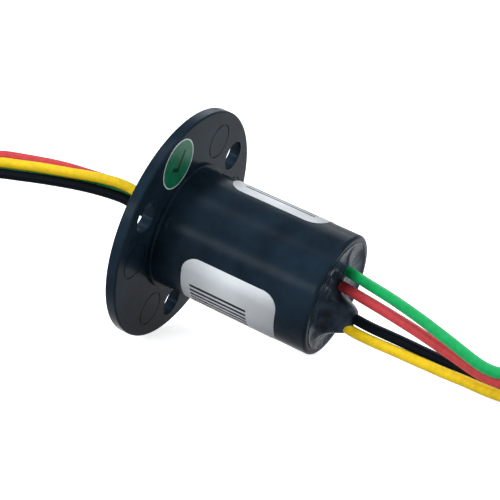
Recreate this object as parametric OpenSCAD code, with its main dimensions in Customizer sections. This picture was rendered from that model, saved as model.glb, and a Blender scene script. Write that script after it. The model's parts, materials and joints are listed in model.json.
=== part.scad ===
// Flanged capsule slip ring with four circuits.
// The housing and its screwed flange stand still, the rotor turns inside them on two ball bearings,
// and each of the four leads on the rotor side is carried through to one on the housing side.
//
// Every piece is drawn about its own axis, with the flange's front face at z = 0 and the body above it.
// as_it_lies() then lays the whole ring down: it rests on the flange's rim and on the body's far rim.

/* [Flange] */
// Diameter of the mounting flange
flange_d = 44; // [41:0.5:48]
// Thickness of the flange
flange_t = 2.1; // [1.8:0.1:3]
// Number of screw holes
hole_count = 3; // [3:1:4]
// Diameter of a screw hole
hole_d = 5.6; // [4.2:0.1:6]
// Diameter of the circle of screw holes
hole_pcd = 34; // [32:0.5:35]
// Direction of the first screw hole, counted from the top
hole_turn = 75; // [70:1:80]
// Rounding of the flange's rim
flange_edge = 0.35; // [0.2:0.05:0.6]
// Diameter of an ejector pin's mark
pin_mark_d = 6.6; // [5:0.1:7]

/* [Body] */
// Outer diameter of the body
body_d = 22.7; // [22.4:0.1:24]
// Length of the body in front of the flange
body_len = 31.5; // [31:0.5:36]
// Rounding of the body's far rim
body_edge = 0.6; // [0.3:0.1:0.8]
// Diameter of the step at the foot of the body
collar_d = 24.2; // [24.1:0.1:25]
// Height of that step
collar_h = 0.7; // [0.4:0.1:1.2]
// Diameter of the cavity
cavity_d = 19; // [18.8:0.1:19.4]
// Diameter of the counterbore that takes the end plate
plate_bore_d = 20.2; // [19.8:0.1:20.4]
// Depth from the body's far rim to the potting
potting_recess = 0.5; // [0.2:0.1:0.9]
// Thickness of the potting behind the end plate
potting_t = 2.8; // [2:0.1:3.2]

/* [Bearings] */
// Bore of a ball bearing
bearing_bore = 8; // [7.8:0.1:8.2]
// Outer diameter of a ball bearing
bearing_od = 14; // [13.8:0.1:14.2]
// Width of a ball bearing
bearing_w = 3.5; // [3.2:0.1:3.6]
// Number of balls
ball_count = 7; // [5:1:8]

/* [Rotor] */
// Diameter of the stub behind the flange
boss_d = 7.5; // [7:0.1:7.6]
// Length of the stub behind the flange
boss_len = 4; // [3.5:0.5:6]
// Diameter of the dust collar on the stub, inside the flange's hole
dust_collar_d = 8.4; // [8.2:0.1:8.6]
// Bore of the hollow shaft
shaft_bore = 5; // [4.8:0.1:5.4]
// Outer diameter of a contact ring
ring_d = 12; // [11.6:0.1:12.4]
// Width of the groove that the brushes run in
groove_w = 1.6; // [1.4:0.1:1.8]
// Depth of that groove
groove_depth = 0.6; // [0.4:0.1:0.8]
// Diameter of an insulating barrier
barrier_d = 13.4; // [13:0.1:13.8]
// Thickness of an insulating barrier
barrier_t = 1.3; // [1.1:0.1:1.3]

/* [Brushes] */
// Diameter of a brush wire
brush_d = 0.5; // [0.4:0.05:0.6]
// Distance from the axis to the face of a brush block
block_reach = 7.2; // [7.1:0.05:7.4]
// Thickness of a brush block
block_t = 1.3; // [1:0.1:1.4]
// Width of a brush block
block_w = 7.6; // [7:0.1:7.8]

/* [Leads] */
// Outer diameter of a lead
lead_d = 1.9; // [1.5:0.1:2]
// Radius of the outermost turn of a coiled lead
coil_r = 13.3; // [13:0.1:14]
// Turns in each coil
coil_turns = 3; // [2:1:3]

/* [Labels] */
// Thickness of a label
label_t = 0.08; // [0.05:0.01:0.12]
// Length of a label along the body
label_len = 18.8; // [16:0.1:20]
// Width of the side label before it is bent round the body
label_w = 13; // [11:0.1:14]
// Diameter of the round sticker on the flange
sticker_d = 9.4; // [7:0.1:9.4]

/* [Hidden] */

$fn = 64;

// Clearances: press seat, brush to groove, ball to race
seat_gap = 0.02;
brush_gap = 0.05;
ball_gap = 0.04;

// Housing
rotor_hole_d = dust_collar_d + 0.6;
lip_t = 0.8;
bearing_z = lip_t - flange_t;
cavity_z = bearing_z + bearing_w;
pin_mark_turns = [-14, -76, -194, -256];
pin_mark_r = hole_pcd / 2 - 0.6;
mark_line = 0.22;
mark_depth = 0.15;
gate_turn = 74;
gate_z = 1.9;
gate_r = 0.7;
label_z = 6.6;
label_corner = 3;

// End plate and potting, counted back from the body's far rim
cup_wall = 1.3;
washer_t = 0.5;
plate_t = 1.4;
potting_end = body_len - potting_recess;
potting_z = potting_end - potting_t;
plate_z = potting_z - plate_t;
rear_bearing_end = plate_z - washer_t;
rear_bearing_z = rear_bearing_end - bearing_w;
cup_z = rear_bearing_z + 0.2;

// Rotor stack: the rings share the length between the two bearings
shoulder_t = 1.1;
shoulder_d = 9.6;
clip_t = 1;
clip_d = 10.4;
stack_z = cavity_z + shoulder_t;
stack_end = rear_bearing_z - clip_t;
ring_pitch = (stack_end - stack_z - barrier_t) / 4;
ring_w = ring_pitch - barrier_t;
boss_end = -flange_t - boss_len;
dust_collar_z = -flange_t - 0.4;

// Mound of potting that the lower leads come out of
potting_d = plate_bore_d - 2 * seat_gap;
mound_foot = 0.4;
mound_rise = 4;
mound_r = potting_d * 0.13;

// Brushes
block_z = cavity_z + 0.1;
block_end = cup_z - 0.1;
brush_r = ring_d / 2 - groove_depth + brush_gap + brush_d / 2;
brush_foot = block_w / 2 - 0.6;
jumper_d = 0.8;

// Bearings: a ball grows with the way across from the bore to the outer diameter
bearing_across = bearing_od - bearing_bore;
ball_d = 0.8 + bearing_across / 5;
ball_r = (bearing_bore + bearing_od) / 4;
race_groove_r = ball_d / 2 + ball_gap;
race_gap = bearing_across * 0.18;
cage_w = bearing_w - 0.9;
cage_t = bearing_across * 0.1;

// The ring lies on the flange's front rim and on the body's far rim
lie_tilt = atan((flange_d - body_d) / 2 / body_len);
floor_z = -flange_d / 2 * cos(lie_tilt);

// Colours
housing_black = "#27323f";
potting_grey = "#39424e";
label_white = "#dcdcda";
sticker_green = "#1f6a48";
lead_yellow = "#e4b81e";
lead_black = "#161b22";
lead_red = "#c8494a";
lead_green = "#1fa553";

// Routes of the leads as they lie, from the housing or the rotor to the coil
stator_yellow_route = [[27.8, 0.2, -13.4], [33, -2, -15.3], [36.3, -3.3, -16], [39.8, -4.6, -16.6],
  [43.3, -5.9, -17.1], [46.6, -7.3, -17.6], [49.8, -8.7, -18], [52.9, -10.1, -18.4], [56, -11.4, -18.7],
  [59, -12.7, -19.1], [62.4, -14.1, -19.5], [67.7, -15.9, -19.8], [73, -17.3, -19.8]];
stator_black_route = [[28.7, 1.2, -12.1], [33.4, -0.8, -13.5], [37.3, -2.4, -14.4], [40.8, -3.7, -15],
  [44.1, -4.9, -15.6], [47.5, -6.1, -16.3], [50.7, -7.3, -16.9], [54, -8.5, -17.5], [57.2, -9.8, -18.2],
  [60.3, -11.1, -18.8], [62.3, -12, -18.8], [67.8, -14.4, -18.2], [73, -17.3, -17.9]];
stator_red_route = [[28.6, 0.5, -7.6], [32, -1, -8.3], [36.1, -2.9, -9.4], [39.6, -4.5, -10.3],
  [43.1, -6.1, -11.3], [46.6, -7.7, -12.3], [50, -9.3, -13.4], [53.4, -10.9, -14.5], [56.7, -12.5, -15.6],
  [60.1, -14.1, -16.7], [63.9, -15.6, -17.2], [68.5, -16.7, -16.6], [73, -17.3, -16]];
stator_green_route = [[29.2, 1.5, -4.7], [32.7, -0.5, -5.7], [37.5, -3.1, -7], [41.2, -5.2, -7.9],
  [44.8, -7.1, -9], [48.3, -9.1, -10.1], [51.8, -11, -11.4], [55.2, -12.8, -12.7], [58.6, -14.6, -14.1],
  [61.4, -15.9, -15.1], [64.2, -16.7, -15.4], [68.6, -17.2, -14.8], [73, -17.3, -14.1]];
rotor_black_route = [[-6.4, -1, 1.1], [-8.7, -1.2, 2.7], [-11.1, -1.4, 4.1], [-13.3, -1.8, 4.8],
  [-16.9, -2.4, 5.7], [-20.6, -3.2, 6.4], [-24.3, -3.9, 6.9], [-28.6, -4.8, 7.4], [-32.5, -5.5, 7.7],
  [-36.7, -6.2, 8], [-39.8, -6.8, 6.7], [-42, -7.4, 4.2], [-43.6, -7.8, 0.1], [-44.6, -8.1, -4.8],
  [-45.6, -8.4, -9.8], [-47, -8.7, -14.1], [-49.3, -9.4, -17.4], [-51.9, -10.1, -19.1],
  [-55.4, -11.1, -19.8]];
rotor_green_route = [[-6.4, 1, 1.1], [-8.8, 1.1, 2.6], [-12, 1, 4.3], [-14.7, 0.7, 5.2], [-18.3, -0.1, 6],
  [-21.9, -0.9, 6.8], [-25.6, -1.7, 7.4], [-29.8, -2.7, 7.9], [-33.7, -3.5, 8.4], [-37.3, -4.3, 8.6],
  [-41, -5.3, 7.4], [-43.8, -6.4, 4.6], [-45.6, -7.5, 0.4], [-46.6, -8.3, -4.5], [-47.5, -8.9, -9.4],
  [-48.7, -9.3, -13.2], [-50.5, -9.8, -15.8], [-52.4, -10.4, -17.2], [-55.4, -11.1, -17.9]];
rotor_yellow_route = [[-5.7, -1, 3], [-8.1, -1.3, 5], [-10.8, -1.6, 6.7], [-13.4, -2, 7.4],
  [-17, -2.7, 8.1], [-20.6, -3.3, 8.5], [-24.4, -4, 9], [-28.6, -4.7, 9.5], [-32.5, -5.4, 9.8],
  [-36.6, -6.1, 10.1], [-41.2, -7.1, 8.6], [-44.9, -8.2, 5.1], [-47.1, -8.8, 0.8], [-48.3, -9.1, -4.1],
  [-49.3, -9.4, -9], [-50.5, -9.7, -12.4], [-51.9, -10.1, -14.4], [-53.3, -10.5, -15.5],
  [-55.4, -11.1, -16]];
rotor_red_route = [[-5.7, 1, 3], [-8, 0.7, 4.4], [-10.9, 0.3, 5.8], [-14.3, -0.3, 7], [-17.9, -0.9, 7.9],
  [-21.7, -1.5, 8.9], [-25.5, -2.1, 9.7], [-29.7, -2.8, 10.3], [-33.7, -3.6, 10.8], [-37, -4.2, 11.1],
  [-42.3, -5.7, 9.6], [-46.7, -7.3, 5.7], [-49, -8.6, 1.1], [-50.4, -9.4, -3.6], [-51.7, -10, -8.3],
  [-52.8, -10.4, -10.9], [-53.6, -10.6, -12.1], [-55.4, -11.1, -14.1]];
stator_coil_centre = [78, -5];
rotor_coil_centre = [-52, -24];
tie_turn = 150;

// The pose and the repeats

module as_it_lies() {
  rotate([0, -(90 + lie_tilt), 180]) children();
}

module around(count, r, first = 0) {
  for (i = [0 : count - 1]) rotate(first + i * 360 / count) translate([r, 0, 0]) children();
}

module washer(outer_d, inner_d, z, h) {
  translate([0, 0, z]) difference() {
    cylinder(d = outer_d, h = h);
    translate([0, 0, -1]) cylinder(d = inner_d, h = h + 2);
  }
}

// A disc of radius r from z = 0 to z = h whose outer edges are rounded at the foot and at the top
function disc_outline(r, h, foot, top) = concat([[0, 0]],
  [for (a = [270 : 22.5 : 360]) [r - foot + foot * cos(a), foot + foot * sin(a)]],
  [for (a = [0 : 22.5 : 90]) [r - top + top * cos(a), h - top + top * sin(a)]], [[0, h]]);

// Housing, end plate and potting

module screw_holes() {
  around(hole_count, hole_pcd / 2, hole_turn) translate([0, 0, -flange_t - 1]) cylinder(d = hole_d, h = flange_t + 2);
}

module pin_marks() {
  for (turn = pin_mark_turns) rotate(turn) translate([pin_mark_r, 0, 0])
    washer(pin_mark_d, pin_mark_d - 2 * mark_line, -mark_depth, 2 * mark_depth);
}

module housing() {
  color(housing_black) as_it_lies() difference() {
    union() {
      translate([0, 0, -flange_t])
        rotate_extrude() polygon(disc_outline(flange_d / 2, flange_t, flange_edge, flange_edge));
      rotate_extrude() polygon(disc_outline(collar_d / 2, collar_h, 0.01, 0.2));
      rotate_extrude() polygon(disc_outline(body_d / 2, body_len, 0.01, body_edge));
    }
    screw_holes();
    pin_marks();
    rotate(gate_turn) translate([body_d / 2 + gate_r / 2, 0, gate_z]) sphere(r = gate_r, $fn = 24);
    translate([0, 0, -flange_t - 1]) cylinder(d = rotor_hole_d, h = flange_t + 2);
    translate([0, 0, bearing_z]) cylinder(d = bearing_od + 2 * seat_gap, h = bearing_w + 1);
    translate([0, 0, cavity_z]) cylinder(d = cavity_d, h = body_len);
    translate([0, 0, plate_z]) cylinder(d = plate_bore_d, h = body_len);
  }
}

module end_plate() {
  color("#2f6b4a") as_it_lies() difference() {
    union() {
      translate([0, 0, plate_z]) cylinder(d = plate_bore_d - 2 * seat_gap, h = plate_t);
      translate([0, 0, cup_z]) cylinder(d = bearing_od + 2 * cup_wall, h = plate_z - cup_z + 0.1);
    }
    translate([0, 0, cup_z - 1]) cylinder(d = bearing_od + 2 * seat_gap, h = plate_z - cup_z + 1);
    jumper_places(jumper_d + 0.2) cylinder(d = jumper_d + 0.2, h = body_len);
  }
}

module end_potting() {
  color(potting_grey) as_it_lies() {
    translate([0, 0, potting_z]) cylinder(d = potting_d, h = potting_t);
    hull() {
      translate([-potting_d * 0.15, 0, potting_end - mound_foot]) cylinder(d = potting_d * 0.56, h = mound_foot, $fn = 32);
      translate([-potting_d * 0.16, 0, potting_end + mound_rise - mound_r]) sphere(r = mound_r, $fn = 24);
    }
  }
}

// Brushes

module brush_block(side) {
  color("#b98a3a") as_it_lies() translate([side * (block_reach + block_t / 2) - block_t / 2, -block_w / 2, block_z])
    cube([block_t, block_w, block_end - block_z]);
}

module brush_block_left() { brush_block(1); }
module brush_block_right() { brush_block(-1); }

function ring_middle(i) = stack_z + barrier_t + ring_w / 2 + i * ring_pitch;

// Two gold wires, one from each block, run across the groove of contact ring i
module brush_wires(i) {
  color("gold") as_it_lies() for (side = [-1, 1]) translate([0, 0, ring_middle(i) + side * (brush_d / 2 + 0.1)]) {
    translate([side * brush_r, -brush_foot, 0]) rotate([-90, 0, 0]) cylinder(d = brush_d, h = 2 * brush_foot);
    translate([side * brush_r, side * brush_foot, 0]) rotate([0, side * 90, 0])
      cylinder(d = brush_d, h = block_reach - brush_r);
    translate([side * brush_r, side * brush_foot, 0]) sphere(d = brush_d);
  }
}

module brush_wires_1() { brush_wires(0); }
module brush_wires_2() { brush_wires(1); }
module brush_wires_3() { brush_wires(2); }
module brush_wires_4() { brush_wires(3); }

// The four conductors that run from the brush blocks through the end plate into the potting
module jumper_places(d) {
  for (side = [-1, 1]) for (turn = [-18, 18]) rotate(90 - side * 90 + turn)
    translate([(cavity_d - d) / 2 - 0.1, 0, 0]) children();
}

module stator_jumpers() {
  color("#c77b3c") as_it_lies() jumper_places(jumper_d + 0.2)
    translate([0, 0, block_end]) cylinder(d = jumper_d, h = potting_z - block_end);
}

// Ball bearings

module race_groove() {
  rotate_extrude() translate([ball_r, 0]) circle(r = race_groove_r);
}

module bearing_outer(z) {
  color("silver") as_it_lies() translate([0, 0, z]) difference() {
    washer(bearing_od, 2 * ball_r + race_gap, 0, bearing_w);
    translate([0, 0, bearing_w / 2]) race_groove();
  }
}

module bearing_inner(z) {
  color("silver") as_it_lies() translate([0, 0, z]) difference() {
    washer(2 * ball_r - race_gap, bearing_bore, 0, bearing_w);
    translate([0, 0, bearing_w / 2]) race_groove();
  }
}

module bearing_balls(z) {
  color("gainsboro") as_it_lies() translate([0, 0, z + bearing_w / 2]) around(ball_count, ball_r) sphere(d = ball_d);
}

module bearing_cage(z) {
  color("#c9a86a") as_it_lies() translate([0, 0, z + bearing_w / 2]) difference() {
    washer(2 * ball_r + cage_t, 2 * ball_r - cage_t, -cage_w / 2, cage_w);
    around(ball_count, ball_r) sphere(d = ball_d + 2 * ball_gap);
  }
}

module front_bearing_outer() { bearing_outer(bearing_z); }
module front_bearing_inner() { bearing_inner(bearing_z); }
module front_bearing_balls() { bearing_balls(bearing_z); }
module front_bearing_cage() { bearing_cage(bearing_z); }
module rear_bearing_outer() { bearing_outer(rear_bearing_z); }
module rear_bearing_inner() { bearing_inner(rear_bearing_z); }
module rear_bearing_balls() { bearing_balls(rear_bearing_z); }
module rear_bearing_cage() { bearing_cage(rear_bearing_z); }

// A thin spring washer that loads the rear bearing against the end plate
module wave_washer() {
  color("lightsteelblue") as_it_lies() washer(bearing_od - 0.4, bearing_od - 2, rear_bearing_end, washer_t);
}

// Rotor

module rotor_shaft() {
  color("#1d232b") as_it_lies() difference() {
    union() {
      translate([0, 0, boss_end]) cylinder(d = boss_d, h = bearing_z - boss_end);
      translate([0, 0, dust_collar_z]) cylinder(d = dust_collar_d, h = bearing_z - dust_collar_z);
      translate([0, 0, bearing_z]) cylinder(d = bearing_bore - 2 * seat_gap, h = rear_bearing_end - bearing_z + 0.2);
      translate([0, 0, cavity_z]) cylinder(d = shoulder_d, h = shoulder_t);
    }
    translate([0, 0, boss_end - 1]) cylinder(d = shaft_bore, h = ring_middle(3) + 1.5 - boss_end + 1);
    for (i = [0 : 3]) translate([0, 0, ring_middle(i)]) rotate([0, 90, 45 + 90 * i]) cylinder(d = 1.3, h = bearing_bore);
  }
}

module contact_ring(i) {
  color("#d9a62e") as_it_lies() difference() {
    washer(ring_d, bearing_bore, ring_middle(i) - ring_w / 2, ring_w);
    washer(ring_d + 2, ring_d - 2 * groove_depth, ring_middle(i) - groove_w / 2, groove_w);
  }
}

module contact_ring_1() { contact_ring(0); }
module contact_ring_2() { contact_ring(1); }
module contact_ring_3() { contact_ring(2); }
module contact_ring_4() { contact_ring(3); }

module ring_barrier(i) {
  color("ivory") as_it_lies() washer(barrier_d, bearing_bore, stack_z + i * ring_pitch, barrier_t);
}

module ring_barrier_1() { ring_barrier(0); }
module ring_barrier_2() { ring_barrier(1); }
module ring_barrier_3() { ring_barrier(2); }
module ring_barrier_4() { ring_barrier(3); }
module ring_barrier_5() { ring_barrier(4); }

// A split push-on clip that holds the stack of rings and barriers
module rotor_clip() {
  color("dimgray") as_it_lies() difference() {
    washer(clip_d, bearing_bore, stack_end, clip_t);
    translate([0, -0.6, stack_end - 1]) cube([clip_d, 1.2, clip_t + 2]);
  }
}

// One conductor for each ring, along the bore of the shaft and out through its side
module rotor_jumpers() {
  color("#c77b3c") as_it_lies() for (i = [0 : 3]) rotate(45 + 90 * i) translate([1.4, 0, 0]) {
    translate([0, 0, boss_end + 2]) cylinder(d = 0.9, h = ring_middle(i) - boss_end - 2);
    translate([0, 0, ring_middle(i)]) sphere(d = 0.9);
    translate([0, 0, ring_middle(i)]) rotate([0, 90, 0]) cylinder(d = 0.9, h = bearing_bore / 2 - 1.4);
  }
}

module rotor_potting() {
  color(potting_grey) as_it_lies() translate([0, 0, boss_end]) cylinder(d = shaft_bore, h = 2);
}

// Labels

module rounded_plate(w, h, r, t) {
  translate([r - w / 2, -h / 2, 0]) cube([w - 2 * r, h, t]);
  translate([-w / 2, r - h / 2, 0]) cube([w, h - 2 * r, t]);
  for (x = [-1, 1], y = [-1, 1]) translate([x * (w / 2 - r), y * (h / 2 - r), 0]) cylinder(r = r, h = t);
}

// A label bent round the body, centred at the given direction from the top
module body_label(turn) {
  flat_w = body_d * sin(label_w / body_d * 180 / PI);
  color(label_white) as_it_lies() rotate(turn + 180) translate([0, 0, label_z]) difference() {
    intersection() {
      cylinder(d = body_d + 2 * label_t, h = label_len);
      translate([0, 0, label_len / 2]) rotate([0, -90, 0]) rounded_plate(label_len, flat_w, label_corner, body_d);
    }
    translate([0, 0, -1]) cylinder(d = body_d, h = label_len + 2);
  }
}

module side_label() { body_label(125); }
module top_label() { body_label(-20); }

module round_sticker() {
  color(sticker_green) as_it_lies() rotate(37) translate([collar_d / 4 + flange_d / 4 - 0.2, 0, 0])
    cylinder(d = sticker_d, h = label_t);
}

// Leads

function unit(v) = v / norm(v);
function heading(path, i) = unit(path[min(i + 1, len(path) - 1)] - path[max(i - 1, 0)]);
function ring_at(path, i, sides) =
  let (along = heading(path, i), across = unit(cross([0, 1, 0], along)), over = cross(along, across))
  [for (k = [0 : sides - 1]) let (turn = (k + 0.5) * 360 / sides)
    path[i] + lead_d / 2 * (cos(turn) * across + sin(turn) * over)];

// A closed tube with a ring of corners at each point of its path
module tube(path, sides = 8) {
  rings = len(path);
  polyhedron(
    points = [for (i = [0 : rings - 1]) each ring_at(path, i, sides)],
    faces = concat([[for (k = [sides - 1 : -1 : 0]) k]],
      [for (i = [0 : rings - 2], k = [0 : sides - 1]) let (a = i * sides, n = (k + 1) % sides)
        [a + k, a + n, a + sides + n, a + sides + k]],
      [[for (k = [0 : sides - 1]) (rings - 1) * sides + k]]));
}

module stator_lead_yellow() { color(lead_yellow) tube(stator_yellow_route); }
module stator_lead_black() { color(lead_black) tube(stator_black_route); }
module stator_lead_red() { color(lead_red) tube(stator_red_route); }
module stator_lead_green() { color(lead_green) tube(stator_green_route); }
module rotor_lead_black() { color(lead_black) tube(rotor_black_route); }
module rotor_lead_green() { color(lead_green) tube(rotor_green_route); }
module rotor_lead_yellow() { color(lead_yellow) tube(rotor_yellow_route); }
module rotor_lead_red() { color(lead_red) tube(rotor_red_route); }

coil_outer = coil_r + lead_d / 2;
coil_inner = coil_r - coil_turns * lead_d - lead_d / 2;
coil_h = 4 * lead_d;

// The outer shape of four leads wound together, one above the other
module coil(centre) {
  translate([centre.x, centre.y, floor_z]) washer(2 * coil_outer, 2 * coil_inner, 0, coil_h);
}

// A band round the bundle of turns, open at the floor so that the coil lies flat
module coil_tie(centre) {
  band_w = 2.4;
  band_t = 0.4;
  translate([centre.x, centre.y, floor_z]) rotate(tie_turn) difference() {
    translate([coil_inner - band_t, -band_w / 2, 0]) cube([coil_outer - coil_inner + 2 * band_t, band_w, coil_h + band_t]);
    translate([0, 0, -1]) washer(2 * coil_outer, 2 * coil_inner, 0, coil_h + 1);
  }
}

module stator_coil() { color(lead_green) coil(stator_coil_centre); }
module rotor_coil() { color(lead_red) coil(rotor_coil_centre); }
module stator_coil_tie() { color("black") coil_tie(stator_coil_centre); }
module rotor_coil_tie() { color("black") coil_tie(rotor_coil_centre); }

housing();
end_plate();
end_potting();
brush_block_left();
brush_block_right();
brush_wires_1();
brush_wires_2();
brush_wires_3();
brush_wires_4();
stator_jumpers();
front_bearing_outer();
front_bearing_inner();
front_bearing_balls();
front_bearing_cage();
rear_bearing_outer();
rear_bearing_inner();
rear_bearing_balls();
rear_bearing_cage();
wave_washer();
rotor_shaft();
contact_ring_1();
contact_ring_2();
contact_ring_3();
contact_ring_4();
ring_barrier_1();
ring_barrier_2();
ring_barrier_3();
ring_barrier_4();
ring_barrier_5();
rotor_clip();
rotor_jumpers();
rotor_potting();
side_label();
top_label();
round_sticker();
stator_lead_yellow();
stator_lead_black();
stator_lead_red();
stator_lead_green();
stator_coil();
stator_coil_tie();
rotor_lead_black();
rotor_lead_green();
rotor_lead_yellow();
rotor_lead_red();
rotor_coil();
rotor_coil_tie();
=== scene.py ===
"""Flanged capsule slip ring with four circuits: surfaces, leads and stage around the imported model."""

import json
import math

import bmesh
import bpy
from bpy.props import FloatProperty, FloatVectorProperty, IntProperty, PointerProperty
from mathutils import Matrix, Vector, noise


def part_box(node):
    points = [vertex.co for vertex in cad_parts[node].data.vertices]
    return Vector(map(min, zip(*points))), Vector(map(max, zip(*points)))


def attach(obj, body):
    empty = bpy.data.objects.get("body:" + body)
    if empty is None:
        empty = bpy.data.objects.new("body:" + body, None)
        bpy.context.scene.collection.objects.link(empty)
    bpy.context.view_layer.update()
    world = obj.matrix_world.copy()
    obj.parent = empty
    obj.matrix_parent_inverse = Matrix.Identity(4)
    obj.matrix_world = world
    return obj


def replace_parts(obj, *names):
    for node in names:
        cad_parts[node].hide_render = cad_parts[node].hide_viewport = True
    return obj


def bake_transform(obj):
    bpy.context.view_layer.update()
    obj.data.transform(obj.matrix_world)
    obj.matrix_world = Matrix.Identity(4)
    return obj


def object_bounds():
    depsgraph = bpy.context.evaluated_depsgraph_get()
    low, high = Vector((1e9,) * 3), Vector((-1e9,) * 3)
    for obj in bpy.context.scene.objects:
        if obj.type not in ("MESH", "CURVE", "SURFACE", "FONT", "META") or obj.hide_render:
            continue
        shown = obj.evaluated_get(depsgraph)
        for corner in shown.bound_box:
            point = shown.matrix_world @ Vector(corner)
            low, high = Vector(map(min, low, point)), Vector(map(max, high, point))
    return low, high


bl_info = {
    "name": "Slip ring",
    "version": (1, 0, 0),
    "blender": (4, 5, 0),
    "location": "View3D > Sidebar > Slip ring",
    "description": "Builds the leads, labels, potting and finishes of a flanged capsule slip ring",
    "category": "Object",
}

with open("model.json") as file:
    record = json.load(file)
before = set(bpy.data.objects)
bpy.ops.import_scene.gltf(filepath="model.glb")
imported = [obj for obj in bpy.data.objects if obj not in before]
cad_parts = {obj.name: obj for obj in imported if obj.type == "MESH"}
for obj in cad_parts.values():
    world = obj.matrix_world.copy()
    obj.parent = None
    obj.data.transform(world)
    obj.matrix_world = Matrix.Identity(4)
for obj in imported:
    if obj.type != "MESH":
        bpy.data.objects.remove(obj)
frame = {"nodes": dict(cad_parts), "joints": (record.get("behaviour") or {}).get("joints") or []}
CAD_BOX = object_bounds()
MM = 0.001

# The ring's own frame: z runs along the rotor's axis from the flange to the far rim, x is up
AXIS = frame["joints"][0]["axis"]
TILT = math.asin(-AXIS[2])
LIES = Matrix.Rotation(math.pi, 4, "Z") @ Matrix.Rotation(-math.pi / 2 - TILT, 4, "Y")

# Points that the leads follow, in millimetres, from the ring to the coil
STATOR_ROUTES = {
    "yellow": ((27.8, 0.2, -13.4), (33, -2, -15.3), (36.3, -3.3, -16), (39.8, -4.6, -16.6), (43.3, -5.9, -17.1),
               (46.6, -7.3, -17.6), (49.8, -8.7, -18), (52.9, -10.1, -18.4), (56, -11.4, -18.7), (59, -12.7, -19.1),
               (62.4, -14.1, -19.5), (67.7, -15.9, -19.8), (73, -17.3, -19.8)),
    "black": ((28.7, 1.2, -12.1), (33.4, -0.8, -13.5), (37.3, -2.4, -14.4), (40.8, -3.7, -15), (44.1, -4.9, -15.6),
              (47.5, -6.1, -16.3), (50.7, -7.3, -16.9), (54, -8.5, -17.5), (57.2, -9.8, -18.2), (60.3, -11.1, -18.8),
              (62.3, -12, -18.8), (67.8, -14.4, -18.2), (73, -17.3, -17.9)),
    "red": ((28.6, 0.5, -7.6), (32, -1, -8.3), (36.1, -2.9, -9.4), (39.6, -4.5, -10.3), (43.1, -6.1, -11.3),
            (46.6, -7.7, -12.3), (50, -9.3, -13.4), (53.4, -10.9, -14.5), (56.7, -12.5, -15.6), (60.1, -14.1, -16.7),
            (63.9, -15.6, -17.2), (68.5, -16.7, -16.6), (73, -17.3, -16)),
    "green": ((29.2, 1.5, -4.7), (32.7, -0.5, -5.7), (37.5, -3.1, -7), (41.2, -5.2, -7.9), (44.8, -7.1, -9),
              (48.3, -9.1, -10.1), (51.8, -11, -11.4), (55.2, -12.8, -12.7), (58.6, -14.6, -14.1),
              (61.4, -15.9, -15.1), (64.2, -16.7, -15.4), (68.6, -17.2, -14.8), (73, -17.3, -14.1)),
}
ROTOR_ROUTES = {
    "black": ((-5, -1, 0.6), (-6.4, -1, 1.1), (-8.7, -1.2, 2.7), (-11.1, -1.4, 4.1), (-13.3, -1.8, 4.8),
              (-16.9, -2.4, 5.7), (-20.6, -3.2, 6.4), (-24.3, -3.9, 6.9), (-28.6, -4.8, 7.4), (-32.5, -5.5, 7.7),
              (-36.7, -6.2, 8), (-39.8, -6.8, 6.7), (-42, -7.4, 4.2), (-43.6, -7.8, 0.1), (-44.6, -8.1, -4.8),
              (-45.6, -8.4, -9.8), (-47, -8.7, -14.1), (-49.3, -9.4, -17.4), (-51.9, -10.1, -19.1),
              (-55.4, -11.1, -19.8)),
    "green": ((-5, 1, 0.6), (-6.4, 1, 1.1), (-8.8, 1.1, 2.6), (-12, 1, 4.3), (-14.7, 0.7, 5.2), (-18.3, -0.1, 6),
              (-21.9, -0.9, 6.8), (-25.6, -1.7, 7.4), (-29.8, -2.7, 7.9), (-33.7, -3.5, 8.4), (-37.3, -4.3, 8.6),
              (-41, -5.3, 7.4), (-43.8, -6.4, 4.6), (-45.6, -7.5, 0.4), (-46.6, -8.3, -4.5), (-47.5, -8.9, -9.4),
              (-48.7, -9.3, -13.2), (-50.5, -9.8, -15.8), (-52.4, -10.4, -17.2), (-55.4, -11.1, -17.9)),
    "yellow": ((-4.3, -1, 2.5), (-5.7, -1, 3), (-8.1, -1.3, 5), (-10.8, -1.6, 6.7), (-13.4, -2, 7.4),
               (-17, -2.7, 8.1), (-20.6, -3.3, 8.5), (-24.4, -4, 9), (-28.6, -4.7, 9.5), (-32.5, -5.4, 9.8),
               (-36.6, -6.1, 10.1), (-41.2, -7.1, 8.6), (-44.9, -8.2, 5.1), (-47.1, -8.8, 0.8), (-48.3, -9.1, -4.1),
               (-49.3, -9.4, -9), (-50.5, -9.7, -12.4), (-51.9, -10.1, -14.4), (-53.3, -10.5, -15.5),
               (-55.4, -11.1, -16)),
    "red": ((-4.3, 1, 2.5), (-5.7, 1, 3), (-8, 0.7, 4.4), (-10.9, 0.3, 5.8), (-14.3, -0.3, 7), (-17.9, -0.9, 7.9),
            (-21.7, -1.5, 8.9), (-25.5, -2.1, 9.7), (-29.7, -2.8, 10.3), (-33.7, -3.6, 10.8), (-37, -4.2, 11.1),
            (-42.3, -5.7, 9.6), (-46.7, -7.3, 5.7), (-49, -8.6, 1.1), (-50.4, -9.4, -3.6), (-51.7, -10, -8.3),
            (-52.8, -10.4, -10.9), (-53.6, -10.6, -12.1), (-55.4, -11.1, -14.1)),
}
# Middle of each coil in millimetres, and the direction from it in which its leads arrive
COILS = {"stator": ((78, -5), -112), "rotor": ((-52, -24), 105)}

# Spacing of the points along a lead
LEAD_STEP = 0.0008
# Thickness of the films
FILM_THICKNESS = 0.00008


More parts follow.
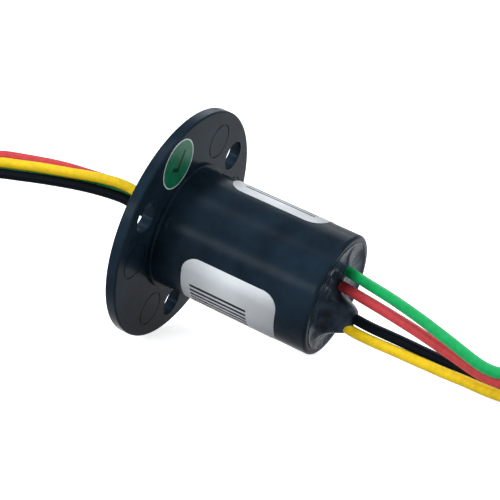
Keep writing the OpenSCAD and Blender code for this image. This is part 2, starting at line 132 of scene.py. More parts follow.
class SlipRingSizes(bpy.types.PropertyGroup):
    """Sizes of the pieces that the scene adds"""

    lead_diameter: FloatProperty(
        name="Lead diameter", description="Outer diameter of a lead's insulation",
        default=0.0019, unit="LENGTH")
    lead_length: FloatProperty(
        name="Lead length", description="Length of each lead from its exit to its bare end",
        default=0.25, unit="LENGTH")
    coil_radius: FloatProperty(
        name="Coil radius", description="Radius of the outermost turn of a coiled lead",
        default=0.0133, unit="LENGTH")
    tip_length: FloatProperty(
        name="Bare end", description="Length of the tinned strands at a lead's end",
        default=0.003, unit="LENGTH")
    body_radius: FloatProperty(
        name="Body radius", description="Outer radius of the capsule's body", default=0.01135, unit="LENGTH")
    label_length: FloatProperty(
        name="Label length", description="Length of a label along the body", default=0.0188, unit="LENGTH")
    label_width: FloatProperty(
        name="Label width", description="Width of a label round the body",
        default=0.013, unit="LENGTH")
    label_corner: FloatProperty(
        name="Label corner", description="Radius of a label's corners", default=0.003, unit="LENGTH")
    sticker_diameter: FloatProperty(
        name="Sticker diameter", description="Diameter of the round sticker on the flange",
        default=0.0094, unit="LENGTH")
    mound_height: FloatProperty(
        name="Potting mound", description="Rise of the potting round the two lower leads",
        default=0.005, unit="LENGTH")
    lead_sides: IntProperty(
        name="Lead sides", description="Corners of a lead's round section", default=16, min=8, max=32)


def colour(name, text, default):
    """A colour that a user can change."""
    return FloatVectorProperty(
        name=name, description=text, subtype="COLOR", size=3, min=0, max=1, default=default)


class SlipRingColours(bpy.types.PropertyGroup):
    """Colours of the moulded plastic, the leads, the labels and the sticker"""

    housing: colour("Housing", "Moulded capsule and flange", (0.0095, 0.0185, 0.029))
    potting: colour("Potting", "Dark resin in the capsule's end", (0.023, 0.035, 0.053))
    label: colour("Label", "White film labels", (0.72, 0.72, 0.73))
    print: colour("Print", "Dark print on the labels", (0.004, 0.006, 0.01))
    sticker: colour("Sticker", "Round film sticker", (0.006, 0.13, 0.06))
    yellow: colour("Yellow lead", "Yellow insulation", (0.88, 0.58, 0.012))
    black: colour("Black lead", "Black insulation", (0.004, 0.006, 0.009))
    red: colour("Red lead", "Red insulation", (0.58, 0.055, 0.06))
    green: colour("Green lead", "Green insulation", (0.008, 0.38, 0.1))


def sizes():
    """The sizes that are set in the scene."""
    return bpy.context.scene.slip_ring_sizes


def colours():
    """The colours that are set in the scene."""
    return bpy.context.scene.slip_ring_colours


def piece(name, mesh, *materials):
    """A new object in the scene that holds the mesh and its materials."""
    made = bpy.data.objects.new(name, mesh)
    bpy.context.scene.collection.objects.link(made)
    for material in materials:
        mesh.materials.append(material)
    return made


def finished(name, bm, *materials, smooth=True, place=LIES):
    """A piece from a bmesh that was drawn in the ring's own frame, in metres."""
    bmesh.ops.transform(bm, matrix=place, verts=bm.verts)
    for face in bm.faces:
        face.smooth = smooth
    mesh = bpy.data.meshes.new(name)
    bm.to_mesh(mesh)
    bm.free()
    return piece(name, mesh, *materials)


# Finishes


class Finish:
    """A procedural material with a Principled surface and the nodes that feed it."""

    def __init__(self, name, base, roughness, **sockets):
        self.material = bpy.data.materials.new(name)
        self.material.use_nodes = True
        self.nodes = self.material.node_tree.nodes
        self.links = self.material.node_tree.links
        self.shader = self.nodes["Principled BSDF"]
        self.shader.inputs["Base Color"].default_value = (*base, 1)
        self.shader.inputs["Roughness"].default_value = roughness
        for socket, value in sockets.items():
            self.shader.inputs[socket.replace("_", " ")].default_value = value
        self.material.diffuse_color = (*base, 1)

    def node(self, kind, **inputs):
        """A new node: a key with a small first letter sets a property, any other a socket or its link."""
        made = self.nodes.new(kind)
        for key, value in inputs.items():
            if key[0].islower() and hasattr(made, key):
                setattr(made, key, value)
            else:
                socket = made.inputs[key.replace("_", " ")]
                if isinstance(value, bpy.types.NodeSocket):
                    self.links.new(value, socket)
                else:
                    socket.default_value = value
        return made

    def at(self):
        """The place on the piece that every pattern reads."""
        return self.node("ShaderNodeTexCoord").outputs["Object"]

    def grain(self, scale, detail=4.0):
        """Soft noise from 0 to 1."""
        return self.node("ShaderNodeTexNoise", Vector=self.at(), Scale=scale, Detail=detail).outputs["Fac"]

    def vary(self, dark, light, scale, low=0.35, high=0.65):
        """Colour that drifts between two shades over the surface."""
        ramp = self.node("ShaderNodeMapRange", Value=self.grain(scale), From_Min=low, From_Max=high)
        mix = self.node("ShaderNodeMix", data_type="RGBA", Factor=ramp.outputs[0])
        mix.inputs[6].default_value = (*dark, 1)
        mix.inputs[7].default_value = (*light, 1)
        self.links.new(mix.outputs[2], self.shader.inputs["Base Color"])
        return self

    def gloss(self, scale, low, high):
        """Roughness that drifts over the surface."""
        ramp = self.node("ShaderNodeMapRange", Value=self.grain(scale), To_Min=low, To_Max=high)
        self.links.new(ramp.outputs[0], self.shader.inputs["Roughness"])
        return self

    def relief(self, scale, height, detail=4.0):
        """Fine bump, its height in metres."""
        last = self.shader.inputs["Normal"]
        bump = self.node("ShaderNodeBump", Strength=1.0, Distance=height, Height=self.grain(scale, detail))
        if last.is_linked:
            self.links.new(last.links[0].from_socket, bump.inputs["Normal"])
        self.links.new(bump.outputs["Normal"], last)
        return self


def shade(base, factor):
    """The colour made lighter or darker."""
    return tuple(min(1, channel * factor) for channel in base)


def dress(node, material):
    """Gives a CAD node's object a material of its own."""
    mesh = frame["nodes"][node].data
    for index in range(len(mesh.materials)):
        mesh.materials[index] = material
    if not mesh.materials:
        mesh.materials.append(material)


# Leads


def even_path(points, step):
    """Points a step apart on a smooth curve through the given ones."""
    dense = [points[0]]
    for i in range(len(points) - 1):
        a, b = points[i], points[i + 1]
        before = points[i - 1] if i else a
        after = points[i + 2] if i + 2 < len(points) else b
        n = 12
        for k in range(1, n + 1):
            t = k / n
            square = (2 * before - 5 * a + 4 * b - after) * t * t
            cube = (3 * a - before - 3 * b + after) * t ** 3
            dense.append(0.5 * (2 * a + (b - before) * t + square + cube))
    path, gone = [dense[0]], 0.0
    for a, b in zip(dense, dense[1:]):
        length = (b - a).length
        while gone + length >= step:
            a = a.lerp(b, (step - gone) / length)
            length = (b - a).length
            path.append(a)
            gone = 0.0
        gone += length
    for _ in range(6):
        path[1:-1] = [(a + 2 * b + c) / 4 for a, b, c in zip(path, path[1:], path[2:])]
    return path


def lead_path(side, name):
    """The whole course of a lead: its route and then its turns in the coil."""
    route = (STATOR_ROUTES if side == "stator" else ROTOR_ROUTES)[name]
    points = [Vector(p) * MM for p in route]
    (x, y), start = COILS[side]
    radius, height = sizes().coil_radius, points[-1].z
    # More turns than any lead fills: the path is cut to the lead's length below
    for turn in range(10, 1180, 10):
        angle = math.radians(start + turn)
        r = radius - sizes().lead_diameter * turn / 360
        points.append(Vector((x * MM + r * math.cos(angle), y * MM + r * math.sin(angle), height)))
    path = even_path(points, LEAD_STEP)
    return path[:int(sizes().lead_length / LEAD_STEP) + 1]


def tube(name, path, radius, material):
    """A round tube with closed ends along a path, as a mesh."""
    curve = bpy.data.curves.new(name, "CURVE")
    curve.dimensions = "3D"
    curve.bevel_depth = radius
    curve.bevel_resolution = sizes().lead_sides // 2 - 2
    curve.use_fill_caps = True
    line = curve.splines.new("POLY")
    line.points.add(len(path) - 1)
    for point, place in zip(line.points, path):
        point.co = (*place, 1)
    holder = bpy.data.objects.new(name, curve)
    mesh = bpy.data.meshes.new_from_object(holder)
    bpy.data.objects.remove(holder)
    bpy.data.curves.remove(curve)
    bm = bmesh.new()
    bm.from_mesh(mesh)
    bmesh.ops.remove_doubles(bm, verts=bm.verts, dist=1e-6)
    bmesh.ops.recalc_face_normals(bm, faces=bm.faces)
    for face in bm.faces:
        face.smooth = len(face.verts) == 4
    bm.to_mesh(mesh)
    bm.free()
    mesh.name = name
    return piece(name, mesh, material)


def insulation(name):
    """Soft plastic of a lead, slightly uneven in colour and gloss."""
    base = tuple(getattr(colours(), name))
    finish = Finish(f"{name}_insulation", base, 0.4, Specular_IOR_Level=0.02 if name == "black" else 0.09)
    finish.vary(shade(base, 0.9), shade(base, 1.08), 900).gloss(1500, 0.3, 0.46).relief(2600, 0.00001)
    return finish.material


def strands():
    """Tinned copper of the bare ends."""
    return Finish("tinned_strands", (0.72, 0.7, 0.66), 0.32, Metallic=1.0).vary(
        (0.6, 0.57, 0.52), (0.82, 0.8, 0.77), 3000).relief(6000, 0.00002).material


class SLIPRING_OT_camera(bpy.types.Operator):
    """Place the camera that looks at the capsule's side and end"""

    bl_idname = "slip_ring.camera"
    bl_label = "Camera"

    def execute(self, context):
        data = bpy.data.cameras.new("camera")
        data.sensor_width = 36
        data.lens = 108
        data.clip_start = 0.01
        camera = bpy.data.objects.new("camera", data)
        camera.location = (0.12549, -0.23491, 0.04972)
        camera.rotation_euler = Vector((-0.4229, 0.8839, -0.1998)).to_track_quat("-Z", "Y").to_euler()
        context.scene.collection.objects.link(camera)
        context.scene.camera = camera
        return {"FINISHED"}


class SLIPRING_OT_leads(bpy.types.Operator):
    """Lay the four leads on each side, from the ring into their coils, with bare tinned ends"""

    bl_idname = "slip_ring.leads"
    bl_label = "Leads"

    def execute(self, context):
        metal = strands()
        radius = sizes().lead_diameter / 2
        jackets = {name: insulation(name) for name in ("yellow", "black", "red", "green")}
        for side in ("stator", "rotor"):
            for name, jacket in jackets.items():
                path = lead_path(side, name)
                lead = tube(f"{side}_lead_{name}_insulation", path, radius, jacket)
                end = path[-1]
                ahead = (path[-1] - path[-2]).normalized()
                tip = self.bare_end(f"{side}_lead_{name}_end", end, ahead, radius, metal)
                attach(tip, "root")
                if side == "stator":
                    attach(lead, "root")
                else:
                    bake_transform(lead)
                nodes = [f"{side}_lead_{name}"] + ([f"{side}_coil"] if name == "green" else [])
                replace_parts(lead, *nodes)
        return {"FINISHED"}

    def bare_end(self, name, end, ahead, radius, metal):
        """Seven tinned strands with a slight lay, which stand out of the insulation."""
        turn = ahead.to_track_quat("Z", "Y").to_matrix().to_4x4()
        bm = bmesh.new()
        strand = radius * 0.2
        for k in range(7):
            out = 0 if k == 0 else strand * 2
            made = bmesh.ops.create_cone(bm, cap_ends=True, segments=10, radius1=strand, radius2=strand * 0.9,
                                         depth=sizes().tip_length)["verts"]
            spot = Matrix.Rotation(k * math.tau / 6, 4, "Z")
            spot = spot @ Matrix.Translation((out, 0, sizes().tip_length * 0.4))
            lay = Matrix.Rotation(0.06, 4, "X")
            bmesh.ops.transform(bm, matrix=Matrix.Translation(end) @ turn @ spot @ lay, verts=made)
        return finished(name, bm, metal, place=Matrix.Identity(4))


# The band that ties a coil: its width, thickness, corner, gap round the leads and direction on the coil
BAND_WIDTH = 0.0022
BAND_THICKNESS = 0.0003
BAND_CORNER = 0.0009
BAND_GAP = 0.0001
BAND_TURN = 150


class SLIPRING_OT_ties(bpy.types.Operator):
    """Bind each coil of leads with a band"""

    bl_idname = "slip_ring.ties"
    bl_label = "Coil ties"

    def execute(self, context):
        rubber = Finish("tie_band", (0.02, 0.02, 0.024), 0.55).relief(1800, 0.00003).material
        for side in ("stator", "rotor"):
            coil_low, coil_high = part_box(f"{side}_coil")
            (x, y), _ = COILS[side]
            outer = sizes().coil_radius + sizes().lead_diameter / 2
            inner = sizes().coil_radius - 3.5 * sizes().lead_diameter
            mid, half = (outer + inner) / 2, (outer - inner) / 2
            top = coil_high.z - coil_low.z
            bm = bmesh.new()
            bmesh.ops.create_grid(bm, x_segments=1, y_segments=1, size=0.5)
            bmesh.ops.scale(bm, vec=(2 * half + 4 * BAND_GAP, top + 2 * BAND_GAP, 1), verts=bm.verts)
            bmesh.ops.bevel(bm, geom=bm.verts[:], offset=BAND_CORNER, offset_type="OFFSET", segments=5,
                            profile=0.5, affect="VERTICES", material=-1)
            outline = [edge for edge in bm.edges if edge.is_boundary]
            bmesh.ops.delete(bm, geom=bm.faces[:], context="FACES_ONLY")
            up = bmesh.ops.extrude_edge_only(bm, edges=outline)["geom"]
            raised = [item for item in up if isinstance(item, bmesh.types.BMVert)]
            bmesh.ops.translate(bm, vec=(0, 0, BAND_WIDTH), verts=raised)
            bmesh.ops.recalc_face_normals(bm, faces=bm.faces)
            bmesh.ops.solidify(bm, geom=bm.faces[:], thickness=-BAND_THICKNESS)
            # Cut flat where it lies on the floor
            bmesh.ops.bisect_plane(bm, geom=bm.verts[:] + bm.edges[:] + bm.faces[:], dist=1e-7, clear_inner=True,
                                   plane_co=(0, -top / 2 - 0.00009, 0), plane_no=(0, 1, 0))
            bmesh.ops.holes_fill(bm, edges=[edge for edge in bm.edges if edge.is_boundary], sides=0)
            bmesh.ops.recalc_face_normals(bm, faces=bm.faces)
            place = (Matrix.Translation((x * MM, y * MM, coil_low.z + top / 2 + BAND_GAP))
                     @ Matrix.Rotation(math.radians(BAND_TURN), 4, "Z")
                     @ Matrix.Translation((mid, BAND_WIDTH / 2, 0)) @ Matrix.Rotation(math.pi / 2, 4, "X"))
            band = finished(f"{side}_tie_band", bm, rubber, place=place)
            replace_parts(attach(band, "root"), f"{side}_coil_tie")
        return {"FINISHED"}


# Capsule


class SLIPRING_OT_housing(bpy.types.Operator):
    """Finish the moulded capsule and its flange"""

    bl_idname = "slip_ring.housing"
    bl_label = "Housing"

    def execute(self, context):
        base = tuple(colours().housing)
        finish = Finish("moulded_black", base, 0.38, Specular_IOR_Level=0.022)
        finish.vary(shade(base, 0.7), shade(base, 1.35), 160).gloss(260, 0.18, 0.26).relief(5200, 0.000005, 3.0)
        finish.relief(180, 0.00003, 2.0)
        dress("housing", finish.material)
        return {"FINISHED"}


# The resin in the capsule's end: its radius, and its foot and level along the ring's own axis
RESIN_RADIUS = 0.01008
RESIN_FOOT = 0.0282
RESIN_LEVEL = 0.031
RESIN_RINGS = 80

# Lumps and hollows of the resin: height, middle, half width each way and how square the top is
LUMPS = (
    (0.0005, (-0.0031, 0.0019), (0.0017, 0.0013), 2),
    (0.0011, (0.0004, 0.0014), (0.0011, 0.0014), 2),
    (0.0007, (-0.0016, 0.0034), (0.0012, 0.001), 2),
    (0.001, (0.005, -0.0003), (0.0016, 0.0016), 2),
    (0.0007, (0.0022, 0.0002), (0.0017, 0.0017), 2),
    (0.0012, (-0.0062, 0.0018), (0.0024, 0.0028), 2),
    (-0.00025, (0.0059, -0.0036), (0.0034, 0.0034), 4),
    (-0.0006, (0.004, 0.0032), (0.0014, 0.0012), 2),
)
# Creases round one spot: height, radius and half width
CREASE_SPOT = (0.0059, -0.0036)
CREASES = ((0.0003, 0.0038, 0.0003), (0.0002, 0.0027, 0.00025))


def lump(x, y, middle, half, power=2):
    """A smooth lump of height 1 over its middle."""
    return math.exp(-(abs((x - middle[0]) / half[0]) ** power + abs((y - middle[1]) / half[1]) ** power))


def resin_height(x, y):
    """How far the resin stands above its level at a spot, in the ring's own frame."""
    inward = RESIN_RADIUS - math.hypot(x, y)
    creep = 0.0006 * math.exp(-inward / 0.0008)
    mound = sizes().mound_height * lump(x, y, (-0.0026, 0.0007), (0.003, 0.0026), 4)
    lumps = sum(height * lump(x, y, middle, half, power) for height, middle, half, power in LUMPS)
    away = math.hypot(x - CREASE_SPOT[0], y - CREASE_SPOT[1])
    creases = sum(height * math.exp(-((away - radius) / wide) ** 2) for height, radius, wide in CREASES)
    creases *= lump(x, y, (0.007, 0.0002), (0.0034, 0.0032))
    wave = 0.00008 * noise.noise(Vector((x, y, 0)) * 300)
    rough = 0.0008 * noise.noise(Vector((x, y, 0.02)) * 430)
    wave += rough * lump(x, y, (-0.003, 0.0006), (0.0042, 0.0044), 4)
    return creep + mound + lumps + creases + wave * min(1, inward / 0.0012)


class SLIPRING_OT_potting(bpy.types.Operator):
    """Pour the uneven resin in the capsule's end, with its hollow and the mound round the lower leads"""

    bl_idname = "slip_ring.potting"
    bl_label = "Potting"

    def execute(self, context):
        base = tuple(colours().potting)
        resin = Finish("potting_resin", base, 0.2, Specular_IOR_Level=0.055)
        resin.vary(shade(base, 0.5), shade(base, 1.8), 420).gloss(500, 0.2, 0.32).relief(420, 0.00022, 2.0)
        bm = bmesh.new()
        line = [bm.verts.new((RESIN_RADIUS * k / RESIN_RINGS, 0, RESIN_LEVEL)) for k in range(RESIN_RINGS + 1)]
        edges = [bm.edges.new(pair) for pair in zip(line, line[1:])]
        edge = bm.verts.new((RESIN_RADIUS, 0, RESIN_FOOT))
        edges.append(bm.edges.new((line[-1], edge)))
        bmesh.ops.spin(bm, geom=line + [edge] + edges, cent=(0, 0, 0), axis=(0, 0, 1), angle=math.tau, steps=180,
                       use_merge=True)
        bmesh.ops.remove_doubles(bm, verts=bm.verts, dist=1e-7)
        bmesh.ops.holes_fill(bm, edges=[e for e in bm.edges if e.is_boundary], sides=0)
        bmesh.ops.recalc_face_normals(bm, faces=bm.faces)
        for vert in bm.verts:
            if vert.co.z > RESIN_FOOT + 1e-5:
                vert.co.z += resin_height(vert.co.x, vert.co.y)
        made = finished("end_potting_resin", bm, resin.material)
        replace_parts(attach(made, "root"), "end_potting")
        return {"FINISHED"}


# Labels


def film_patch(length, width, corner):
    """A rounded film lying flat on z = 0, x along it, cut into strips so that it can bend round the body."""
    bm = bmesh.new()
    bmesh.ops.create_grid(bm, x_segments=1, y_segments=1, size=0.5)
    bmesh.ops.scale(bm, vec=(length, width, 1), verts=bm.verts)
    bmesh.ops.bevel(bm, geom=bm.verts[:], offset=corner, offset_type="OFFSET", segments=12, profile=0.5,
                    affect="VERTICES", material=-1)
    strips = 32
    for k in range(1, strips):
        y = width * (k / strips - 0.5)
        bmesh.ops.bisect_plane(bm, geom=bm.verts[:] + bm.edges[:] + bm.faces[:], dist=1e-7,
                               plane_co=(0, y, 0), plane_no=(0, 1, 0))
    return bm


def map_uv(bm, length, width):
    """A UV map that runs from 0 to 1 along and across the flat film."""
    layer = bm.loops.layers.uv.new("print")
    for face in bm.faces:
        for loop in face.loops:
            loop[layer].uv = (loop.vert.co.x / length + 0.5, loop.vert.co.y / width + 0.5)


def bend(bm, radius, middle, turn):
    """Wraps a flat film round the body, its x along the axis and its z outwards."""
    for vert in bm.verts:
        along, round_, out = vert.co
        angle = math.radians(turn) + round_ / radius
        vert.co = ((radius + out) * math.cos(angle), (radius + out) * math.sin(angle), middle + along)


def ruled(x0, y0, length, rows, pitch, line):
    """Even bars along the body, one beside another: the middle and the size of each."""
    return [(x0 + length / 2, y0 + (row + 0.5) * pitch, length, line) for row in range(rows)]


# Print on the flat films, in millimetres from the film's middle: x along the body, y round it
SIDE_PRINT = ruled(-7.6, -1.2, 11.4, 5, 1.15, 0.6)
TOP_PRINT = ruled(-7.0, 1.9, 14.0, 2, 1.15, 0.5)

# Each label's direction round the body, from the top towards the side with the sticker
LABEL_TURNS = {"side_label": 125, "top_label": -20}
# From the flange's face to a label
LABEL_FOOT = 0.0066
# How far the print lies above the body
PRINT_LIFT = 0.000084


class SLIPRING_OT_labels(bpy.types.Operator):
    """Stick the two film labels round the body, with plain ruled bars"""

    bl_idname = "slip_ring.labels"
    bl_label = "Labels"

    def execute(self, context):
        film = self.film()
        ink = Finish("label_print", tuple(colours().print), 0.5, Specular_IOR_Level=0.08)
        ink.relief(4000, 0.000004)
        radius, middle = sizes().body_radius, LABEL_FOOT + sizes().label_length / 2
        for name, turn in LABEL_TURNS.items():
            bm = film_patch(sizes().label_length, sizes().label_width, sizes().label_corner)
            map_uv(bm, sizes().label_length, sizes().label_width)
            bmesh.ops.solidify(bm, geom=bm.faces[:], thickness=-FILM_THICKNESS)
            bend(bm, radius, middle, turn)
            bmesh.ops.recalc_face_normals(bm, faces=bm.faces)
            label = finished(f"{name}_film", bm, film)
            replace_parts(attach(label, "root"), name)
        for name, bars in (("side_label", SIDE_PRINT), ("top_label", TOP_PRINT)):
            self.bars(f"{name}_print", bars, radius, middle, LABEL_TURNS[name], ink.material)
        return {"FINISHED"}

    def film(self):
        """White film with a faint unevenness."""
        base = tuple(colours().label)
        return Finish("label_film", base, 0.5, Specular_IOR_Level=0.3).vary(
            shade(base, 0.96), shade(base, 1.03), 240).relief(900, 0.000006).material

    def bars(self, name, bars, radius, middle, turn, ink):
        """Thin printed bars, each given by its middle and its size on the flat film, in millimetres."""
        bm = bmesh.new()
        for x, y, length, width in bars:
            made = bmesh.ops.create_grid(bm, x_segments=1, y_segments=3, size=0.5)["verts"]
            bmesh.ops.scale(bm, vec=(length * MM, width * MM, 1), verts=made)
            bmesh.ops.translate(bm, vec=(x * MM, y * MM, PRINT_LIFT), verts=made)
        bend(bm, radius, middle, turn)
        made = finished(name, bm, ink)
        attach(made, "root")
        return made


# Sticker


# The sticker's direction from the top and its distance from the axis, and the width of its pale border
STICKER_TURN = 37
STICKER_REACH = 0.01685
STICKER_BORDER = 0.0002
# A plain tick on the sticker, upright towards the flange's rim: middle, length and turn of its two bars
TICK = ((-0.0006, 0.001, 0.0023, 45), (0.00004, -0.00085, 0.0042, -45))
TICK_WIDTH = 0.00075
TICK_LIFT = 0.000086


class SLIPRING_OT_sticker(bpy.types.Operator):
    """Stick the round film on the flange, with its pale border and a plain tick"""

    bl_idname = "slip_ring.sticker"
    bl_label = "Round sticker"

    def execute(self, context):
        base = tuple(colours().sticker)
        film = Finish("sticker_film", base, 0.4, Specular_IOR_Level=0.12).vary(
            shade(base, 0.85), shade(base, 1.25), 700).relief(1200, 0.000012).material
        border = Finish("sticker_border", (0.72, 0.76, 0.73), 0.4).relief(1500, 0.000008).material
        mark = Finish("sticker_mark", (0.001, 0.012, 0.008), 0.5, Specular_IOR_Level=0.12).relief(
            1500, 0.000008).material
        radius = sizes().sticker_diameter / 2
        spot = Matrix.Rotation(math.radians(STICKER_TURN), 4, "Z") @ Matrix.Translation((STICKER_REACH, 0, 0))
        bm = bmesh.new()
        bmesh.ops.create_circle(bm, cap_ends=True, segments=72, radius=radius)
        bmesh.ops.inset_region(bm, faces=bm.faces[:], thickness=STICKER_BORDER, use_boundary=True,
                               use_even_offset=True)
        rim = [face for face in bm.faces if len(face.verts) == 4]
        for face in rim:
            face.material_index = 1
        bmesh.ops.translate(bm, vec=(0, 0, FILM_THICKNESS), verts=bm.verts)
        side = bmesh.ops.extrude_edge_only(bm, edges=[edge for edge in bm.edges if edge.is_boundary])["geom"]
        foot = [item for item in side if isinstance(item, bmesh.types.BMVert)]
        bmesh.ops.translate(bm, vec=(0, 0, -FILM_THICKNESS), verts=foot)
        sticker = finished("round_sticker_film", bm, film, border, smooth=False, place=LIES @ spot)
        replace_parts(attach(sticker, "root"), "round_sticker")
        bm = bmesh.new()
        for x, y, length, turn in TICK:
            bar = bmesh.ops.create_grid(bm, x_segments=1, y_segments=1, size=0.5)["verts"]
            bmesh.ops.scale(bm, vec=(length, TICK_WIDTH, 1), verts=bar)
            bmesh.ops.transform(bm, verts=bar, matrix=Matrix.Translation((x, y, TICK_LIFT)) @ Matrix.Rotation(
                math.radians(turn), 4, "Z"))
        tick = finished("round_sticker_tick", bm, mark, smooth=False, place=LIES @ spot)
        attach(tick, "root")
        return {"FINISHED"}


# Works inside


class SLIPRING_OT_works(bpy.types.Operator):
    """Finish the rotor, rings, brushes, bearings and boards inside"""

    bl_idname = "slip_ring.works"
    bl_label = "Works"

    def execute(self, context):
        gold = Finish("gold_plate", (0.83, 0.58, 0.18), 0.22, Metallic=1.0).gloss(900, 0.16, 0.3).relief(
            3500, 0.000003).material
        steel = Finish("bearing_steel", (0.62, 0.63, 0.65), 0.2, Metallic=1.0).gloss(700, 0.14, 0.28).relief(
            4000, 0.000002).material
        spring = Finish("spring_steel", (0.42, 0.46, 0.5), 0.34, Metallic=1.0).gloss(600, 0.28, 0.42).relief(
            3000, 0.000004).material
        brass = Finish("cage_brass", (0.6, 0.42, 0.2), 0.36, Metallic=1.0).gloss(800, 0.3, 0.44).relief(
            2600, 0.000005).material
        copper = Finish("tinned_copper", (0.7, 0.42, 0.24), 0.3, Metallic=1.0).vary(
            (0.62, 0.36, 0.2), (0.76, 0.5, 0.32), 1200).relief(3000, 0.000004).material
        resin = Finish("ivory_resin", (0.74, 0.7, 0.56), 0.5).vary(
            (0.68, 0.63, 0.5), (0.78, 0.75, 0.62), 500).relief(2600, 0.000006).material
        board = Finish("glass_board", (0.02, 0.13, 0.06), 0.45).vary(
            (0.015, 0.1, 0.045), (0.03, 0.16, 0.08), 900).relief(3500, 0.000006).material
        carrier = Finish("brush_carrier", (0.34, 0.2, 0.06), 0.5).vary(
            (0.28, 0.16, 0.05), (0.4, 0.24, 0.08), 700).relief(2400, 0.00001).material
        rotor = Finish("rotor_plastic", (0.014, 0.018, 0.024), 0.4).vary(
            (0.011, 0.014, 0.02), (0.02, 0.026, 0.034), 260).relief(4200, 0.000006).material
        resin_dark = Finish("rotor_potting", (0.016, 0.02, 0.026), 0.18).relief(700, 0.00008).material
        for node in frame["nodes"]:
            if node.startswith(("contact_ring", "brush_wires")):
                dress(node, gold)
            elif node.endswith("_cage"):
                dress(node, brass)
            elif "bearing" in node:
                dress(node, steel)
            elif node in ("wave_washer", "rotor_clip"):
                dress(node, spring)
            elif node.endswith("jumpers"):
                dress(node, copper)
            elif node.startswith("ring_barrier"):
                dress(node, resin)
            elif node == "end_plate":
                dress(node, board)
            elif node.startswith("brush_block"):
                dress(node, carrier)
            elif node == "rotor_shaft":
                dress(node, rotor)
            elif node == "rotor_potting":
                dress(node, resin_dark)
        return {"FINISHED"}


# Stage


# Place, width, height and power of each lamp
LAMPS = {
    "key_lamp": ((-0.12, -0.13, 0.58), 0.26, 0.26, 1.5),
    "side_lamp": ((-0.12, -0.54, 0.18), 0.24, 0.12, 1.6),
    "left_lamp": ((-0.36, -0.3, 0.26), 0.2, 0.2, 0.8),
    "end_lamp": ((0.5, 0.02, 0.3), 0.25, 0.25, 1.3),
    "back_lamp": ((-0.05, 0.45, 0.4), 0.3, 0.3, 1.0),
}
LAMP_COLOUR = (0.88, 0.95, 1)
# The spot that every lamp looks at
LAMP_AIM = (0.012, 0, -0.005)


def seen(nodes, links):
    """One for rays from the camera and for those that gloss or glass sends on, and nothing for the rest."""
    rays, total = nodes.new("ShaderNodeLightPath"), None
    for kind in ("Is Camera Ray", "Is Glossy Ray", "Is Transmission Ray"):
        step = rays.outputs[kind]
        if total:
            higher = nodes.new("ShaderNodeMath")
            higher.operation = "MAXIMUM"
            links.new(total, higher.inputs[0])
            links.new(step, higher.inputs[1])
            step = higher.outputs[0]
        total = step
    return total


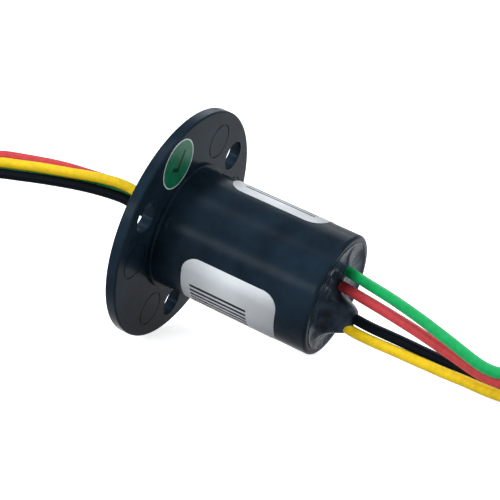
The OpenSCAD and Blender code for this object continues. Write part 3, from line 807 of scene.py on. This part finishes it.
class SLIPRING_OT_stage(bpy.types.Operator):
    """Set the pale floor, the white surround and the soft lamps"""

    bl_idname = "slip_ring.stage"
    bl_label = "Stage"

    def execute(self, context):
        bm = bmesh.new()
        bmesh.ops.create_grid(bm, x_segments=1, y_segments=1, size=2.0)
        floor = finished("floor", bm, self.paper(), place=Matrix.Translation((0, 0, CAD_BOX[0].z)))
        world = bpy.data.worlds.new("white_surround")
        context.scene.world = world
        world.use_nodes = True
        nodes, links = world.node_tree.nodes, world.node_tree.links
        plain = nodes["Background"]
        plain.inputs["Color"].default_value = (1, 1, 1, 1)
        plain.inputs["Strength"].default_value = 0.22
        white = nodes.new("ShaderNodeBackground")
        white.inputs["Color"].default_value = (1, 1, 1, 1)
        white.inputs["Strength"].default_value = 1.0
        mix = nodes.new("ShaderNodeMixShader")
        links.new(seen(nodes, links), mix.inputs["Fac"])
        links.new(plain.outputs[0], mix.inputs[1])
        links.new(white.outputs[0], mix.inputs[2])
        links.new(mix.outputs[0], nodes["World Output"].inputs["Surface"])
        for name, (place, width, height, power) in LAMPS.items():
            self.lamp(context, name, place, width, height, power)
        context.scene.view_settings.view_transform = "Standard"
        return {"FINISHED"}

    def paper(self):
        """White paper that reads as white and keeps a soft shadow, but throws little light on the ring."""
        finish = Finish("paper", (0.9, 0.9, 0.9), 0.9)
        ray = seen(finish.nodes, finish.links)
        tone = finish.node("ShaderNodeMix", data_type="RGBA", Factor=ray)
        tone.inputs[6].default_value = (0.3, 0.3, 0.31, 1)
        tone.inputs[7].default_value = (0.9, 0.9, 0.9, 1)
        finish.links.new(tone.outputs[2], finish.shader.inputs["Base Color"])
        glow = finish.node("ShaderNodeEmission", Color=(1, 1, 1, 1), Strength=0.8)
        total, mix = finish.node("ShaderNodeAddShader"), finish.node("ShaderNodeMixShader")
        for source, target in ((finish.shader.outputs[0], total.inputs[0]), (glow.outputs[0], total.inputs[1]),
                               (ray, mix.inputs["Fac"]),
                               (finish.shader.outputs[0], mix.inputs[1]), (total.outputs[0], mix.inputs[2]),
                               (mix.outputs[0], finish.nodes["Material Output"].inputs["Surface"])):
            finish.links.new(source, target)
        return finish.material

    def lamp(self, context, name, place, width, height, power):
        """A soft rectangular lamp that looks at the ring."""
        data = bpy.data.lights.new(name, "AREA")
        data.shape = "RECTANGLE"
        data.size, data.size_y, data.energy = width, height, power
        data.color = LAMP_COLOUR
        lamp = bpy.data.objects.new(name, data)
        lamp.location = place
        lamp.rotation_euler = (Vector(LAMP_AIM) - Vector(place)).to_track_quat("-Z", "Y").to_euler()
        context.scene.collection.objects.link(lamp)


STEPS = (SLIPRING_OT_camera, SLIPRING_OT_leads, SLIPRING_OT_ties, SLIPRING_OT_housing, SLIPRING_OT_potting,
         SLIPRING_OT_labels, SLIPRING_OT_sticker, SLIPRING_OT_works, SLIPRING_OT_stage)


class SLIPRING_PT_panel(bpy.types.Panel):
    """Sizes, colours and steps of the slip ring"""

    bl_idname = "SLIPRING_PT_panel"
    bl_label = "Slip ring"
    bl_space_type = "VIEW_3D"
    bl_region_type = "UI"
    bl_category = "Slip ring"

    def draw(self, context):
        for group in (context.scene.slip_ring_sizes, context.scene.slip_ring_colours):
            box = self.layout.box()
            for key in group.__annotations__:
                box.prop(group, key)
        for step in STEPS:
            self.layout.operator(step.bl_idname)


def register():
    for cls in (SlipRingSizes, SlipRingColours, *STEPS, SLIPRING_PT_panel):
        bpy.utils.register_class(cls)
    bpy.types.Scene.slip_ring_sizes = PointerProperty(type=SlipRingSizes)
    bpy.types.Scene.slip_ring_colours = PointerProperty(type=SlipRingColours)


def unregister():
    del bpy.types.Scene.slip_ring_sizes
    del bpy.types.Scene.slip_ring_colours
    for cls in (SLIPRING_PT_panel, *reversed(STEPS), SlipRingColours, SlipRingSizes):
        bpy.utils.unregister_class(cls)


def main():
    """Builds everything in order."""
    register()
    for step in STEPS:
        group, name = step.bl_idname.split(".")
        getattr(getattr(bpy.ops, group), name)()


if __name__ == "__main__":
    main()
